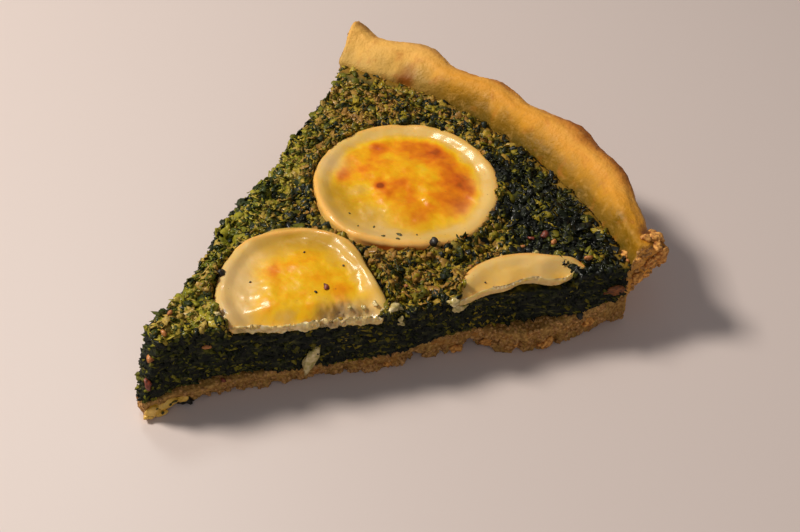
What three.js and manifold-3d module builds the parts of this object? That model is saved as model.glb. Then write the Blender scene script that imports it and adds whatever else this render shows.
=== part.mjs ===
// One wedge of spinach quiche topped with baked rounds of goat's cheese, in millimetres, +Z up.
// The quiche is described whole, round a pie axis, and then cut as a knife cuts it: the tip of
// the wedge lies at the pie axis and the wedge's middle line runs along +X to the pastry rim.
// The frame's origin is under the middle of the wedge's bounds, on the pastry's flat underside.
import * as THREE from "three";
import { mergeVertices } from "three/addons/utils/BufferGeometryUtils.js";
import Module from "manifold-3d";

const wasm = await Module();
wasm.setup();

// ---- Driving dimensions ----
const sliceAngle = THREE.MathUtils.degToRad(54); // between the two knife cuts
const footRadius = 119; // flat underside of the pastry, out to the corner of the baking dish
const rimRadius = 131.5; // outermost edge of the pastry rim, averaged over its lobes
const rimHeight = 27; // crest of the rim above the underside
const baseThickness = 5; // pastry under the filling, near the tip
const heelThickness = 8; // pastry under the filling, near the wall
const fillingHeight = 19; // top of the filling in mid-slice, above the underside
const pieceGap = 0.3; // clearance between one piece and the next
const axisToOrigin = 66; // from the pie axis along +X to the frame's origin
const bisectorOffset = 2.5; // from the wedge's middle line along +Y to the frame's origin

const turnSteps = 240; // facets round the whole quiche
const halfTurn = Math.PI;
const degrees = (value) => THREE.MathUtils.degToRad(value);
const smooth = (value, low, high) => THREE.MathUtils.smoothstep(value, low, high);

// ---- Solids ----

/** A closed manifold-3d solid of a geometry, its shared vertices merged and its slivers dropped. */
function solidOf(geometry) {
  const bare = geometry.clone();
  bare.deleteAttribute("normal");
  bare.deleteAttribute("uv");
  const merged = mergeVertices(bare, 1e-4);
  const corners = merged.index.array;
  const kept = [];
  for (let i = 0; i < corners.length; i += 3) {
    const [a, b, c] = corners.subarray(i, i + 3);
    if (a !== b && b !== c && c !== a) kept.push(a, b, c);
  }
  const solid = new wasm.Manifold(
    new wasm.Mesh({
      numProp: 3,
      vertProperties: new Float32Array(merged.attributes.position.array),
      triVerts: new Uint32Array(kept),
    }),
  );
  if (solid.volume() < 0) throw new Error("a solid is inside out");
  return solid;
}

/** The three.js geometry of a manifold-3d solid. */
function geometryOf(solid) {
  const { vertProperties, triVerts } = solid.getMesh();
  const geometry = new THREE.BufferGeometry();
  geometry.setAttribute("position", new THREE.BufferAttribute(vertProperties, 3));
  geometry.setIndex(new THREE.BufferAttribute(triVerts, 1));
  geometry.computeVertexNormals();
  return geometry;
}

/** Moves every vertex of a geometry by a function of its place. */
function reshape(geometry, move) {
  const position = geometry.attributes.position;
  const point = new THREE.Vector3();
  for (let i = 0; i < position.count; i += 1) {
    point.fromBufferAttribute(position, i);
    move(point);
    position.setXYZ(i, point.x, point.y, point.z);
  }
  return geometry;
}

/** A profile of [radius, height] points from the axis back to the axis, turned about +Z. */
function turned(profile, steps) {
  const points = profile.map(([radius, height]) => new THREE.Vector2(radius, height));
  return new THREE.LatheGeometry(points, steps).rotateX(halfTurn / 2);
}

/** The largest connected body of a solid, without the crumbs a cut leaves. */
function largestBody(solid) {
  const bodies = solid.decompose();
  return bodies.reduce((best, body) => (body.volume() > best.volume() ? body : best));
}

// ---- Shape of the whole quiche ----

// Finger-pressed lobes of the rim: direction in degrees, how far out, and half-width in degrees.
const rimLobes = [
  [26.5, 4, 1.7],
  [17.3, 3.8, 2.6],
  [5.6, 3, 2.4],
  [-7, 4.6, 4.2],
  [-14.5, 2.2, 2],
  [-25, -2.4, 3],
];
const meanLobe = 2.2;

/** How far the rim stands out, or falls back, from its mean radius in one direction. */
function rimPress(angle) {
  return rimLobes.reduce((sum, [at, out, width]) => {
    const apart = (angle - degrees(at)) / degrees(width);
    return sum + out * Math.exp(-apart * apart / 2);
  }, -meanLobe);
}

/** Height of the filling's skin: puffed at the tip, low in mid-slice, and up again by the rim. */
function skinHeight(radius, angle) {
  const puffedTip = 4 * (1 - smooth(radius, 0, 48));
  const risenEdge = 2 * smooth(radius, 72, 116);
  const x = radius * Math.cos(angle);
  const y = radius * Math.sin(angle);
  const lumps = 0.45 * Math.sin(x / 4.1 + y / 6.3) * Math.cos(y / 3.7 - x / 8.9);
  return fillingHeight + puffedTip + risenEdge + lumps;
}

/** Height of the pastry under the filling: thin at the tip, thick towards the wall. */
function floorHeight(radius, angle) {
  const heel = (heelThickness - baseThickness) * smooth(radius, 45, 100);
  return baseThickness + heel + 0.4 * Math.sin(radius / 6.5 + 5 * angle);
}

/** Points of the pastry's bed, from near the wall to the axis, at even steps of radius. */
function bedProfile(outerRadius, step, height) {
  const points = [];
  for (let radius = outerRadius; radius > step / 2; radius -= step) {
    points.push([radius, height]);
  }
  points.push([0, height]);
  return points;
}

const bedRadius = 106; // where the pastry's bed turns up into the wall
const bedStep = 8;
const bedMiddle = 6.5; // a height that only the unshaped bed's points have

/** Presses the rim's lobes into a point: nothing low down, the full lobe at the crest. */
function pressRim(point, radius, angle) {
  const share = smooth(point.z, 15, 24) * smooth(radius, footRadius + 0.5, footRadius + 7);
  const cornerKnob = smooth(angle, degrees(23.5), degrees(26.5));
  const outward = rimPress(angle) * share;
  point.z += share * (0.35 * rimPress(angle - degrees(1.5)) + cornerKnob);
  point.x += Math.cos(angle) * outward;
  point.y += Math.sin(angle) * outward;
}

/** The uncut pastry shell. */
function pastryShell() {
  const wall = [
    [footRadius, 0],
    [footRadius + 2.1, 0.8],
    [footRadius + 3.1, 2.6],
    [footRadius + 5.2, 9],
    [footRadius + 7.4, 16],
    [rimRadius - 2.6, 20],
    [rimRadius - 0.5, 22.4],
    [rimRadius, 24],
    [rimRadius - 1.1, rimHeight - 1.3],
    [rimRadius - 3.6, rimHeight - 0.2],
    [rimRadius - 6.4, rimHeight - 0.1],
    [rimRadius - 9, rimHeight - 1.5],
    [rimRadius - 11, rimHeight - 3.8],
    [rimRadius - 12.3, 20.6],
    [rimRadius - 13.6, 17],
    [rimRadius - 16, 13],
    [rimRadius - 19.5, 10],
  ];
  const profile = [[0, 0], ...wall, ...bedProfile(bedRadius, bedStep, bedMiddle)];
  return reshape(turned(profile, turnSteps), (point) => {
    const radius = Math.hypot(point.x, point.y);
    const angle = Math.atan2(point.y, point.x);
    if (Math.abs(point.z - bedMiddle) < 1e-3) point.z = floorHeight(radius, angle);
    else pressRim(point, radius, angle);
  });
}

/** The uncut filling, which fills the shell up to its skin and keeps a gap to the pastry. */
function fillingDisc() {
  const skinStep = 6;
  const skinRadius = rimRadius - 12.3 - pieceGap;
  const wall = [
    [rimRadius - 19.5 - pieceGap, 10.3],
    [rimRadius - 16 - pieceGap, 13.1],
    [rimRadius - 13.6 - pieceGap, 17],
    [skinRadius, 20.4],
  ];
  const bed = bedProfile(bedRadius, bedStep, bedMiddle).reverse();
  const skin = bedProfile(skinRadius - 1, skinStep, fillingHeight);
  const profile = [...bed, ...wall, ...skin];
  return reshape(turned(profile, turnSteps), (point) => {
    const radius = Math.hypot(point.x, point.y);
    const angle = Math.atan2(point.y, point.x);
    if (Math.abs(point.z - bedMiddle) < 1e-3) point.z = floorHeight(radius, angle) + pieceGap;
    else if (Math.abs(point.z - fillingHeight) < 1e-3) point.z = skinHeight(radius, angle);
    else pressRim(point, radius, angle);
  });
}

// ---- The knife's wedge ----

const cutLength = 150; // past the rim
const leftAngle = sliceAngle / 2;
const rightAngle = -sliceAngle / 2;

/** One cut edge in plan: pairs of distance from the tip and bulge out of the wedge. */
function cutEdge(angle, bulges) {
  const along = new THREE.Vector2(Math.cos(angle), Math.sin(angle));
  const outward = new THREE.Vector2(-along.y, along.x).multiplyScalar(Math.sign(angle));
  const points = bulges.map(([distance, bulge]) =>
    along.clone().multiplyScalar(distance).addScaledVector(outward, bulge),
  );
  return new THREE.SplineCurve(points).getPoints(bulges.length * 2);
}

/** A tall prism over the wedge between two cut edges. */
function wedgePrism(leftBulges, rightBulges) {
  const left = cutEdge(leftAngle, leftBulges);
  const right = cutEdge(rightAngle, rightBulges);
  const outline = new THREE.Shape([...right, ...left.reverse()]);
  const depth = 60;
  const prism = new THREE.ExtrudeGeometry(outline, { depth, bevelEnabled: false });
  return solidOf(prism.translate(0, 0, -10));
}

const pastryWedge = wedgePrism(
  [
    [0, 1.8],
    [8, 0.6],
    [26, -0.4],
    [50, 0.6],
    [70, -0.9],
    [90, -0.9],
    [107, -1.6],
    [121, 0],
    [cutLength, 0],
  ],
  [
    [0, 1.8],
    [8, 0.2],
    [22, -0.8],
    [45, -1.2],
    [54, 0.2],
    [72, -1.1],
    [81, -1.2],
    [89, 2.3],
    [99, 2.6],
    [108, 0.6],
    [117, -1.4],
    [125, -2.8],
    [132, -4.6],
    [cutLength, -4.6],
  ],
);

const fillingWedge = wedgePrism(
  [
    [-1.2, 2.2],
    [6, 0.8],
    [26, -1],
    [38, 1.1],
    [50, 1.9],
    [60, 0.6],
    [70, -1.5],
    [80, -0.4],
    [90, -1.4],
    [105, -2.8],
    [116, -1.4],
    [cutLength, 0],
  ],
  [
    [-1.2, 2.2],
    [4, 0.6],
    [10, -1.8],
    [22, -2],
    [36, -0.8],
    [50, -0.5],
    [61, 0.7],
    [72, -1],
    [83, -1.9],
    [95, -0.7],
    [103, 0.1],
    [112, -0.7],
    [cutLength, -0.7],
  ],
);

// ---- Goat's cheese ----

/** A slice of cheese log: its radius grows and shrinks round it by a few lobes. */
function cheeseSlice({ radius, thickness, lobes, grow }) {
  const profile = [
    [0, -thickness],
    [radius * 0.45, -thickness],
    [radius - 1.2, -thickness],
    [radius - 0.2, -thickness + 1.1],
    [radius, -thickness * 0.5],
    [radius - 0.2, -0.9],
    [radius - 1, -0.15],
    [radius - 2.2, 0],
    [radius - 4.4, -0.5],
    [radius * 0.62, -0.35],
    [radius * 0.35, 0.25],
    [0, 0.35],
  ];
  const grown = profile.map(([r, z], i) => {
    const wider = r > 0 ? r + grow : 0;
    return [wider, i < 4 ? z - grow : z];
  });
  return reshape(turned(grown, 44), (point) => {
    const angle = Math.atan2(point.y, point.x);
    const share = Math.hypot(point.x, point.y) / radius;
    const stretch = 1 + lobes.reduce(
      (sum, [count, size, at]) => sum + size * Math.cos(count * (angle - degrees(at))),
      0,
    );
    point.x *= stretch;
    point.y *= stretch;
    point.z += 0.3 * share * Math.cos(2 * angle + 0.6);
  });
}

// Each slice of cheese: where its middle lies in the pie's frame, the height of its top, how far
// it tips towards the tip of the wedge and towards the front, and its lobes as
// [number, size, direction].
const cheeses = {
  cheese_round: {
    place: [84.5, 4, 21.4],
    tips: [0.5, -0.5],
    radius: 24.4,
    thickness: 4.2,
    lobes: [
      [2, 0.02, 20],
      [3, 0.012, 60],
    ],
  },
  cheese_half: {
    place: [39.2, -8.2, 21.7],
    tips: [1.5, 1.5],
    radius: 20.2,
    thickness: 3.4,
    lobes: [
      [1, 0.035, 70],
      [2, 0.06, 50],
      [3, 0.02, 40],
    ],
  },
  cheese_sliver: {
    place: [76.6, -45.4, 21.2],
    tips: [0, 2],
    radius: 16.8,
    thickness: 3.2,
    lobes: [[2, 0.02, 0]],
  },
};

/** A cheese slice in its place on the quiche, grown all round if it stands for its hollow. */
function placedCheese({ place, tips, ...shape }, grow = 0) {
  return cheeseSlice({ ...shape, grow })
    .rotateY(degrees(tips[0]))
    .rotateX(degrees(tips[1]))
    .translate(...place);
}

// ---- Pieces ----

const finishes = {
  pastry: new THREE.MeshStandardMaterial({ color: 0xd29b52, roughness: 0.8, metalness: 0 }),
  spinach: new THREE.MeshStandardMaterial({ color: 0x26351a, roughness: 0.5, metalness: 0 }),
  cheese: new THREE.MeshStandardMaterial({ color: 0xe6c078, roughness: 0.4, metalness: 0 }),
};

/** A named mesh of a solid. */
function piece(name, solid, finish) {
  const mesh = new THREE.Mesh(geometryOf(solid), finish);
  mesh.name = name;
  return mesh;
}

/** The blunt, leaning end of the filling at the tip, as a block to take away. */
function tipBlock() {
  const reach = 40;
  const lean = degrees(18);
  const block = new THREE.BoxGeometry(reach, reach, 2 * reach);
  return solidOf(block.translate(-reach / 2, 0, 0).rotateY(lean).translate(-1.2, 0, baseThickness));
}

/** The scrap of pastry that bulges out under the rim where the front cut ends. */
function rimScrap() {
  const scrap = new THREE.SphereGeometry(1, 14, 10).scale(4.6, 7, 5.2);
  const direction = degrees(-24.5);
  const reach = 125.8;
  scrap.rotateZ(direction);
  return solidOf(scrap.translate(reach * Math.cos(direction), reach * Math.sin(direction), 19.4));
}

const slice = new THREE.Group();
const pastry = solidOf(pastryShell()).add(rimScrap()).intersect(pastryWedge);
slice.add(piece("pastry_crust", largestBody(pastry), finishes.pastry));

let filling = solidOf(fillingDisc()).intersect(fillingWedge).subtract(tipBlock());
for (const [name, cheese] of Object.entries(cheeses)) {
  const whole = solidOf(placedCheese(cheese));
  const left = largestBody(whole.intersect(fillingWedge));
  slice.add(piece(name, left, finishes.cheese));
  filling = filling.subtract(solidOf(placedCheese(cheese, pieceGap)));
}
slice.add(piece("spinach_filling", largestBody(filling), finishes.spinach));

slice.position.set(-axisToOrigin, -bisectorOffset, 0);
const quiche = new THREE.Group();
quiche.add(slice);

export default quiche;
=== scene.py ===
"""A wedge of spinach quiche with baked goat's cheese on it, lying on a pale table under soft light.

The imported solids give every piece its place. Each one is meshed finely, roughened the way the real
food is, and then sprinkled with what is too small to be a solid: chopped leaves, crumbs, pepper.
"""
import math

import bmesh
import bpy
import numpy as np
from mathutils import Matrix, Vector, noise
from mathutils.bvhtree import BVHTree


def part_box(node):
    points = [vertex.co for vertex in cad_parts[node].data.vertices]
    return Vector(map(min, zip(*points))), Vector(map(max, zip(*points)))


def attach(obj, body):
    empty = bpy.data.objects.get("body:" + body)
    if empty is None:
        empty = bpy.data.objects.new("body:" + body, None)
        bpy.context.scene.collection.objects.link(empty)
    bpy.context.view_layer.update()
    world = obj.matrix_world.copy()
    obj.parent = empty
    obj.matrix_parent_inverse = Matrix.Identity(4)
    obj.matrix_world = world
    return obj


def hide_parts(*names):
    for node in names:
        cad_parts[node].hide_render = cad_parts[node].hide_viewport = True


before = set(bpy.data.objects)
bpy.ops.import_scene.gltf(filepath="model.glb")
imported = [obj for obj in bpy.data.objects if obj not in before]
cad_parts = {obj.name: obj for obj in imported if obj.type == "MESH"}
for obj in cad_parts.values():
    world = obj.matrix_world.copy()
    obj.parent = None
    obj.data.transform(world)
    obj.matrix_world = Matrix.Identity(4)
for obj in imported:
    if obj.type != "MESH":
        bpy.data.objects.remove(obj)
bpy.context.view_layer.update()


# ---- Camera ----
# It looks down at the slice from beside the tip, in front of the cut side, held slightly askew. Its
# place is worked out from the slice's own box.
MM = 0.001
slice_low, slice_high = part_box("pastry_crust")
slice_middle = (slice_low + slice_high) / 2
camera_aim = Vector((slice_middle.x + 4.74 * MM, slice_middle.y - 12.1 * MM, 10 * MM))
camera_distance = 301.8 * MM
camera_turn = math.radians(-46.475)
camera_drop = math.radians(44.878)
camera_roll = math.radians(4.79)

sight = Vector((-math.sin(camera_turn), math.cos(camera_turn), 0)) * math.cos(camera_drop)
sight.z = -math.sin(camera_drop)
level_right = sight.cross(Vector((0, 0, 1))).normalized()
level_up = level_right.cross(sight)
camera_right = level_right * math.cos(camera_roll) + level_up * math.sin(camera_roll)
camera_up = level_up * math.cos(camera_roll) - level_right * math.sin(camera_roll)
camera_data = bpy.data.cameras.new("camera")
camera_data.sensor_width = 36
camera_data.lens = 54
camera_data.clip_start = 0.01
camera = bpy.data.objects.new("camera", camera_data)
camera.matrix_world = Matrix((camera_right, camera_up, -sight)).transposed().to_4x4()
camera.location = camera_aim - sight * camera_distance
bpy.context.scene.collection.objects.link(camera)
bpy.context.scene.camera = camera


# ---- Light ----
# A warm soft box high behind the left cut, a broad dim one in front, a small one that only puts
# glints on what is wet, and a little light all round.
def soft_box(name, place, size, power, colour):
    """A square area light that points at the slice."""
    data = bpy.data.lights.new(name, "AREA")
    data.size = size
    data.energy = power
    data.color = colour
    lamp = bpy.data.objects.new(name, data)
    lamp.location = place
    lamp.rotation_euler = (slice_middle - Vector(place)).to_track_quat("-Z", "Y").to_euler()
    bpy.context.scene.collection.objects.link(lamp)
    return lamp


soft_box("key_light", (-0.37, 0.53, 0.69), size=0.2, power=8.6, colour=(1.0, 0.92, 0.8))
soft_box("front_light", (-0.55, -0.75, 0.7), size=0.9, power=1.2, colour=(1.0, 0.97, 0.94))
glint_light = soft_box(
    "glint_light", (0.16, 0.5, 0.78), size=0.16, power=2.4, colour=(1.0, 0.97, 0.92)
)
glint_light.visible_diffuse = False
world = bpy.data.worlds.new("soft_room")
world.use_nodes = True
world.node_tree.nodes["Background"].inputs["Color"].default_value = (1.0, 0.95, 0.92, 1)
world.node_tree.nodes["Background"].inputs["Strength"].default_value = 0.16
bpy.context.scene.world = world
bpy.context.scene.view_settings.view_transform = "Standard"


# ---- Table ----
# A plain pale table top, wide enough for every view. It lies a hair below the slice's flat
# underside, so that the two faces never flicker into each other.
def colour_of(red, green, blue):
    """A colour of 0 to 255 parts as the light it gives, for a shader."""
    parts = [part / 255 for part in (red, green, blue)]
    linear = [p / 12.92 if p <= 0.04045 else ((p + 0.055) / 1.055) ** 2.4 for p in parts]
    return (*linear, 1.0)


def new_finish(name, colour, roughness, coat=0.0):
    """A material with its shader, and its node tree to add patterns to."""
    finish = bpy.data.materials.new(name)
    finish.use_nodes = True
    shader = finish.node_tree.nodes["Principled BSDF"]
    shader.inputs["Base Color"].default_value = colour_of(*colour)
    shader.inputs["Roughness"].default_value = roughness
    shader.inputs["Coat Weight"].default_value = coat
    shader.inputs["Coat Roughness"].default_value = 0.12
    return finish, shader, finish.node_tree


table_size = 3.0
table_gap = 0.05 * MM
table_mesh = bpy.data.meshes.new("table_top")
half = table_size / 2
table_mesh.from_pydata(
    [(-half, -half, 0), (half, -half, 0), (half, half, 0), (-half, half, 0)], [], [(0, 1, 2, 3)]
)
table = bpy.data.objects.new("table_top", table_mesh)
table.location.z = -table_gap
bpy.context.scene.collection.objects.link(table)
table_finish, _, _ = new_finish("pale_table", (222, 209, 207), roughness=0.45)
table_mesh.materials.append(table_finish)


# ---- Pastry ----
# Shortcrust: a flat base and a finger-pressed wall, baked golden where it stands proud, paler and
# crumbly where the knife went through, and soaked mustard brown where the filling meets the wall.
pastry_grain = 0.55 * MM
pie_axis = Vector((slice_low.x + 0.82 * MM, slice_middle.y - 2.6 * MM, 0))
half_wedge = math.radians(27)
rim_inner = 119 * MM
rim_outer = 131.5 * MM


def fine_copy(node, name, grain):
    """A closed, evenly meshed copy of a solid, fine enough to roughen."""
    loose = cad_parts[node].data.copy()
    shape = bmesh.new()
    shape.from_mesh(loose)
    bmesh.ops.remove_doubles(shape, verts=shape.verts, dist=0.01 * MM)
    shape.to_mesh(loose)
    shape.free()
    piece = bpy.data.objects.new(name, loose)
    bpy.context.scene.collection.objects.link(piece)
    remesh = piece.modifiers.new("even_mesh", "REMESH")
    remesh.mode = "VOXEL"
    remesh.voxel_size = grain
    graph = bpy.context.evaluated_depsgraph_get()
    even = bpy.data.meshes.new_from_object(piece.evaluated_get(graph))
    piece.modifiers.clear()
    piece.data = even
    even.name = name
    even.materials.clear()
    bpy.data.meshes.remove(loose)
    return piece


def points_of(piece):
    """The places of a piece's points, one row each."""
    found = np.empty(len(piece.data.vertices) * 3, np.float32)
    piece.data.vertices.foreach_get("co", found)
    return found.reshape(-1, 3).astype(float)


def normals_of(piece):
    """The outward directions at a piece's points, one row each."""
    found = np.empty(len(piece.data.vertices) * 3, np.float32)
    piece.data.vertex_normals.foreach_get("vector", found)
    return found.reshape(-1, 3).astype(float)


def set_points(piece, places):
    """Moves a piece's points and shades it smooth."""
    piece.data.vertices.foreach_set("co", places.astype(np.float32).ravel())
    piece.data.shade_smooth()
    piece.data.update()


def store(piece, name, values):
    """Keeps one number for each point of a piece, for its finish or its sprinkling to read."""
    attribute = piece.data.attributes.new(name, "FLOAT", "POINT")
    attribute.data.foreach_set("value", np.asarray(values, np.float32))


def lumps(places, size, seed=0, octaves=2, squash=1.0):
    """Cloudy noise from about -1 to 1 at each place, with lumps of one size in mm, flatter if
    squashed."""
    scaled = places / (size * MM)
    scaled[:, 2] *= squash
    scaled += seed * 13.7
    return np.array([noise.fractal(Vector(p), 1.0, 2.1, octaves) for p in scaled.tolist()])


def step(values, low, high):
    """0 below low, 1 above high, and a smooth rise between."""
    share = np.clip((values - low) / (high - low), 0, 1)
    return share * share * (3 - 2 * share)


def rise(values, low, high):
    """The same for lengths, with low and high in millimetres."""
    return step(values, low * MM, high * MM)


def round_axis(places):
    """How far each place is from the pie's axis, and in which direction."""
    x = places[:, 0] - pie_axis.x
    y = places[:, 1] - pie_axis.y
    return np.hypot(x, y), np.arctan2(y, x)


def cut_share(normals, angle):
    """1 where a surface faces sideways out of the wedge, as the knife left it."""
    across = -np.sin(angle) * normals[:, 0] + np.cos(angle) * normals[:, 1]
    return step(across * np.sign(angle), 0.45, 0.75)


def outside_cuts(places):
    """How far each place lies outside the nearer knife cut (below 0 inside the wedge), and which
    way out of the wedge that cut faces."""
    x = places[:, 0] - pie_axis.x
    y = places[:, 1] - pie_axis.y
    side = np.where(y >= 0, 1.0, -1.0)
    facing = np.column_stack([np.full(len(x), -math.sin(half_wedge)), side * math.cos(half_wedge)])
    return x * facing[:, 0] + y * facing[:, 1], facing


def gap_to(radius, angle, spot_radius, spot_degrees):
    """How far each place lies from a spot given round the pie's axis, in plan."""
    return np.hypot(radius - spot_radius, (angle - math.radians(spot_degrees)) * spot_radius)


crust = fine_copy("pastry_crust", "baked_pastry", pastry_grain)
place = points_of(crust)
normal = normals_of(crust)
radius, angle = round_axis(place)
height = place[:, 2].copy()
cut = cut_share(normal, angle)
underside = step(-normal[:, 2], 0.6, 0.9) * rise(-height, -0.6, -0.2)
skin = (1 - cut) * (1 - underside)

# The skin swells and pimples; the cut and its broken end are crumbly.
swell = lumps(place, 10, seed=1) * 0.5 * MM
pimples = lumps(place, 2.4, seed=2) * 0.16 * MM + lumps(place, 0.9, seed=21) * 0.07 * MM
crumbs = lumps(place, 1.5, seed=3, octaves=3) * 0.24 * MM + lumps(place, 4, seed=7) * 0.35 * MM
scrap_gap = gap_to(radius, angle, 129 * MM, -25.5)
broken_end = rise(-scrap_gap, -12, -4) * rise(height, 8, 13)
rubble = lumps(place, 3.0, seed=9, octaves=3) * 1.1 * MM + lumps(place, 1.2, seed=10) * 0.4 * MM
push = skin * (swell + pimples) + cut * crumbs + cut * broken_end * rubble
place = place + normal * (push * (1 - underside))[:, None]

# The rim slumps inwards over the filling near the back corner.
slump = 4.4 * MM
slumped = step(angle, math.radians(10), math.radians(22)) * rise(height, 17, 24)
slumped *= rise(-radius, -124, -119) * (1 - underside)
place[:, 0] -= np.cos(angle) * slumped * slump
place[:, 1] -= np.sin(angle) * slumped * slump

# Bites are missing from the bottom edge of both cuts, and the wall's foot is undercut in front.
bite_depth = 4.0 * MM
bite_height = 1.8 * MM
undercut_depth = 3.4 * MM
undercut_height = 9 * MM
beyond, facing = outside_cuts(place)
along_cut = np.column_stack([radius, facing[:, 1] * 50 * MM, height * 0.5])
bites = np.clip(lumps(along_cut, 3.4, seed=4, octaves=3) * 1.5 + 0.25, 0, 1)
bites *= 0.35 + 0.65 * rise(radius, 50, 75) * rise(-radius, -114, -108)
edge_reach = rise(beyond, -7.5, -1) * rise(-height, -4.6, -1.2)
lift_reach = rise(beyond, -4.5, -1) * rise(-height, -3.4, -0.5)
place[:, :2] -= facing * (bites * edge_reach * bite_depth)[:, None]
place[:, 2] += bites * lift_reach * bite_height
undercut = rise(beyond, -10, -1) * rise(radius, 114, 120)
undercut *= step(-angle, 0.1, 0.2) * np.exp(-(((height - undercut_height) / (5 * MM)) ** 2))
place[:, 0] -= np.cos(angle) * undercut * undercut_depth
place[:, 1] -= np.sin(angle) * undercut * undercut_depth
place[:, 2] = np.maximum(place[:, 2], 0)
set_points(crust, place)

# How deeply it is baked: most on the crown's outer side, least where the filling meets the wall.
across_rim = (radius - rim_inner) / (rim_outer - rim_inner)
on_rim = rise(height, 15, 20)
baked = np.where(on_rim > 0.5, np.clip(across_rim, 0, 1.2), 0.62)
outside = step(radius, rim_outer - 3.5 * MM, rim_outer + 1.5 * MM) * rise(-height, -26, -20)
baked = baked * (1 - outside) + outside * 0.98
unevenness = 0.09 * lumps(place, 9, seed=5) + 0.05 * lumps(place, 3, seed=8)
baked = baked + unevenness * (0.25 + 0.75 * step(baked, 0.1, 0.5))
store(crust, "baked", baked)

# Where the crumb shows, where it is scorched, and where loose crumbs cling to it.
ledge = rise(-height, -15, -11) * rise(-radius, -118, -112)
crumbly_end = rise(-scrap_gap, -5.5, -3.6) * rise(-height, -23, -21)
store(crust, "crumb", np.maximum.reduce([cut, crumbly_end, ledge]))
foot_gap = gap_to(radius, angle, 119.5 * MM, 17.2)
corner_gap = gap_to(radius, angle, 131 * MM, 26)
end_gap = gap_to(radius, angle, 126 * MM, -24)
scorch = 0.95 * rise(-foot_gap, -4.4, -0.8)
scorch += 0.6 * rise(-corner_gap, -4.5, -0.5)
scorch += 0.95 * rise(-end_gap, -5.0, -2.0) * on_rim
store(crust, "scorch", np.clip(scorch + 0.25 * lumps(place, 2, seed=6) * (scorch > 0.05), 0, 1))
on_ledge = ledge * rise(beyond, -5, -3) * rise(height, 3, 4)
on_cut = cut * (rise(-height, -3.8, -1.4) + 0.05 + 0.8 * broken_end)
store(crust, "crumbly", np.maximum(on_cut, 0.7 * on_ledge))
# The rim's broken end is golden, partly its own baked colour and partly painted light, brightened
# though it faces away from the key light.
store(crust, "golden_lit_end", 0.8 * broken_end)
# Painted light: the crown is paler near the left cut, where its steep slumped slope turns away from
# the key light.
store(crust, "painted_light_left_end", 0.5 * step(angle, math.radians(10), math.radians(20)) * on_rim)


def add_node(tree, kind, inputs=None, **settings):
    """A node with its settings, and its inputs linked or set by name or number."""
    made = tree.nodes.new(kind)
    for key, value in settings.items():
        setattr(made, key, value)
    for key, value in (inputs or {}).items():
        if isinstance(value, bpy.types.NodeSocket):
            tree.links.new(value, made.inputs[key])
        else:
            made.inputs[key].default_value = value
    return made


def pattern(tree, size, detail=3.0, stretch=(1, 1, 1)):
    """A cloudy pattern on the piece's own coordinates, with features of one size in mm."""
    where = add_node(tree, "ShaderNodeTexCoord").outputs["Object"]
    turned = add_node(tree, "ShaderNodeMapping", {"Vector": where, "Scale": stretch})
    cloud = {"Vector": turned.outputs["Vector"], "Detail": detail, "Scale": 1 / (size * MM)}
    return add_node(tree, "ShaderNodeTexNoise", cloud).outputs["Fac"]


def reading(tree, name):
    """The number a piece keeps at each point, or for each sprinkled bit."""
    return add_node(tree, "ShaderNodeAttribute", attribute_name=name).outputs["Fac"]


def ramp(tree, value, stops):
    """Colours along a value: stops of (where, colour)."""
    node = add_node(tree, "ShaderNodeValToRGB", {"Fac": value})
    band = node.color_ramp
    for end in (0, -1):
        band.elements[end].position = stops[end][0]
        band.elements[end].color = colour_of(*stops[end][1])
    for where, colour in stops[1:-1]:
        band.elements.new(where).color = colour_of(*colour)
    return node.outputs["Color"]


def blend_colour(tree, share, first, second, mode="MIX"):
    """Two colours or patterns mixed by a share of 0 to 1."""
    first, second = [colour_of(*c) if isinstance(c, tuple) else c for c in (first, second)]
    inputs = {0: share, 6: first, 7: second}
    return add_node(tree, "ShaderNodeMix", inputs, data_type="RGBA", blend_type=mode).outputs[2]


def reckon(tree, operation, first, second):
    """One sum on numbers or sockets."""
    return add_node(tree, "ShaderNodeMath", {0: first, 1: second}, operation=operation).outputs[0]


def spread(tree, value, low, high, to_low=0.0, to_high=1.0):
    """A value stretched from one range to another and held inside it."""
    limits = {"From Min": low, "From Max": high, "To Min": to_low, "To Max": to_high}
    return add_node(tree, "ShaderNodeMapRange", {"Value": value, **limits}).outputs["Result"]


def rough_up(tree, shader, relief, depth, strength=1.0):
    """Fine relief in a shader from a pattern."""
    inputs = {"Height": relief, "Distance": depth, "Strength": strength}
    bump = add_node(tree, "ShaderNodeBump", inputs)
    tree.links.new(bump.outputs["Normal"], shader.inputs["Normal"])


pastry_finish, shader, tree = new_finish("shortcrust", (222, 165, 90), roughness=0.7)
shader.inputs["Specular IOR Level"].default_value = 0.25
cloud = pattern(tree, 7, detail=4)
fleck = pattern(tree, 0.8, detail=4)
shifted = reckon(tree, "ADD", reading(tree, "baked"), spread(tree, cloud, 0.3, 0.7, -0.07, 0.09))
crown = ramp(
    tree,
    shifted,
    [
        (0.0, (104, 80, 4)),
        (0.16, (148, 106, 6)),
        (0.32, (206, 144, 26)),
        (0.48, (230, 158, 46)),
        (0.66, (234, 166, 62)),
        (0.86, (214, 138, 48)),
        (1.0, (166, 96, 32)),
    ],
)
inside = ramp(
    tree,
    fleck,
    [(0.3, (122, 86, 38)), (0.5, (168, 126, 62)), (0.7, (204, 162, 92))],
)
inside = blend_colour(tree, spread(tree, cloud, 0.45, 0.7, 0, 0.5), inside, (142, 90, 38))
# The broken end: its own golden colour with painted light.
inside = blend_colour(tree, reading(tree, "golden_lit_end"), inside, (252, 178, 76))
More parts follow.
